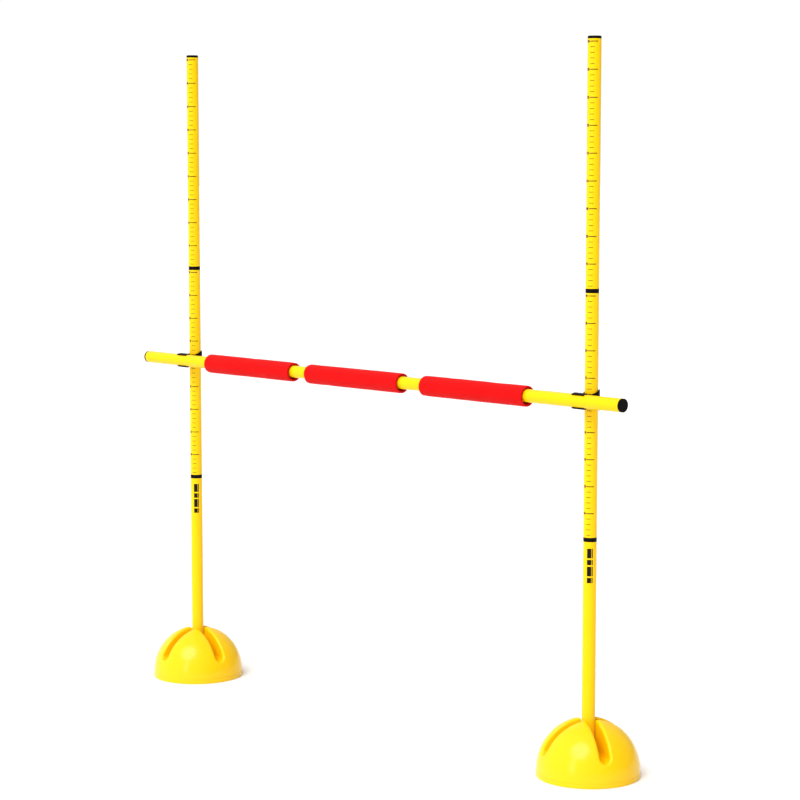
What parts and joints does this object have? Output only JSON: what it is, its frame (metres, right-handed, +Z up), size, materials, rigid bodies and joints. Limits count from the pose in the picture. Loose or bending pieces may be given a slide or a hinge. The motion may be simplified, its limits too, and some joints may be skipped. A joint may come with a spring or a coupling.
{
  "type": "agility hurdle",
  "caption": "Dog agility hurdle: domed bases hold sectional poles with a height scale, and sliding double clips carry a sectional crossbar with foam sleeves.",
  "frame": {"origin": "on the floor under the middle of the crossbar's length and the middle of the bases' depth", "axes": "+X along the crossbar, +Y from the bar side to the plain side of the poles, +Z up"},
  "size_m": [1.376, 0.195, 1.362],
  "materials": {
    "pole_yellow": "gloss extruded tube",
    "base_yellow": "satin moulded shell",
    "fitting_black": "satin moulded",
    "clip_black": "satin moulded",
    "foam_red": "closed-cell foam with a smooth skin",
    "ballast_sand": "dry sand"
  },
  "bodies": {
    "left_base": {"left_base_shell": "base_yellow", "left_base_ballast": "ballast_sand", "left_filler_plug": "fitting_black"},
    "left_lower_pole": {"left_lower_tube": "pole_yellow", "left_foot_cap": "fitting_black", "left_lower_coupler": "fitting_black"},
    "left_middle_pole": {"left_middle_tube": "pole_yellow", "left_upper_coupler": "fitting_black"},
    "left_upper_pole": {"left_upper_tube": "pole_yellow", "left_top_cap": "fitting_black"},
    "left_clip_body": {"left_clip": "clip_black"},
    "right_base": {"right_base_shell": "base_yellow", "right_base_ballast": "ballast_sand", "right_filler_plug": "fitting_black"},
    "right_lower_pole": {"right_lower_tube": "pole_yellow", "right_foot_cap": "fitting_black", "right_lower_coupler": "fitting_black"},
    "right_middle_pole": {"right_middle_tube": "pole_yellow", "right_upper_coupler": "fitting_black"},
    "right_upper_pole": {"right_upper_tube": "pole_yellow", "right_top_cap": "fitting_black"},
    "right_clip_body": {"right_clip": "clip_black"},
    "crossbar": {"bar_middle_tube": "pole_yellow", "bar_left_coupler": "fitting_black", "bar_right_coupler": "fitting_black"},
    "bar_left_section": {"bar_left_tube": "pole_yellow", "bar_left_cap": "fitting_black"},
    "bar_right_section": {"bar_right_tube": "pole_yellow", "bar_right_cap": "fitting_black"},
    "left_sleeve_body": {"left_sleeve": "foam_red"},
    "middle_sleeve_body": {"middle_sleeve": "foam_red"},
    "right_sleeve_body": {"right_sleeve": "foam_red"}
  },
  "joints": [
    {"name": "stand_spacing", "type": "slide", "parent": "left_base", "child": "right_base", "axis": [1, 0, 0], "range_m": [-0.06, 0.06]},
    {"name": "left_lower_lift", "type": "slide", "parent": "left_base", "child": "left_lower_pole", "axis": [0, 0, 1], "range_m": [0, 0.11]},
    {"name": "left_middle_lift", "type": "slide", "parent": "left_lower_pole", "child": "left_middle_pole", "axis": [0, 0, 1], "range_m": [0, 0.05]},
    {"name": "left_upper_lift", "type": "slide", "parent": "left_middle_pole", "child": "left_upper_pole", "axis": [0, 0, 1], "range_m": [0, 0.05]},
    {"name": "left_clip_height", "type": "slide", "parent": "left_middle_pole", "child": "left_clip_body", "axis": [0, 0, 1], "range_m": [-0.56, 0.62]},
    {"name": "right_lower_lift", "type": "slide", "parent": "right_base", "child": "right_lower_pole", "axis": [0, 0, 1], "range_m": [0, 0.11]},
    {"name": "right_middle_lift", "type": "slide", "parent": "right_lower_pole", "child": "right_middle_pole", "axis": [0, 0, 1], "range_m": [0, 0.05]},
    {"name": "right_upper_lift", "type": "slide", "parent": "right_middle_pole", "child": "right_upper_pole", "axis": [0, 0, 1], "range_m": [0, 0.05]},
    {"name": "right_clip_height", "type": "slide", "parent": "right_middle_pole", "child": "right_clip_body", "axis": [0, 0, 1], "range_m": [-0.56, 0.62]},
    {"name": "bar_release", "type": "slide", "parent": "left_clip_body", "child": "crossbar", "axis": [0, -1, 0], "range_m": [0, 0.1]},
    {"name": "bar_left_pull", "type": "slide", "parent": "crossbar", "child": "bar_left_section", "axis": [-1, 0, 0], "range_m": [0, 0.045]},
    {"name": "bar_right_pull", "type": "slide", "parent": "crossbar", "child": "bar_right_section", "axis": [1, 0, 0], "range_m": [0, 0.045]},
    {"name": "left_sleeve_slide", "type": "slide", "parent": "crossbar", "child": "left_sleeve_body", "axis": [1, 0, 0], "range_m": [-0.022, 0.022]},
    {"name": "middle_sleeve_slide", "type": "slide", "parent": "crossbar", "child": "middle_sleeve_body", "axis": [1, 0, 0], "range_m": [-0.022, 0.022]},
    {"name": "right_sleeve_slide", "type": "slide", "parent": "crossbar", "child": "right_sleeve_body", "axis": [1, 0, 0], "range_m": [-0.022, 0.022]}
  ],
  "couplings": [
    {"joint": "right_lower_lift", "follows": "left_lower_lift", "ratio": 1},
    {"joint": "right_middle_lift", "follows": "left_middle_lift", "ratio": 1},
    {"joint": "right_clip_height", "follows": "left_clip_height", "ratio": 1}
  ]
}
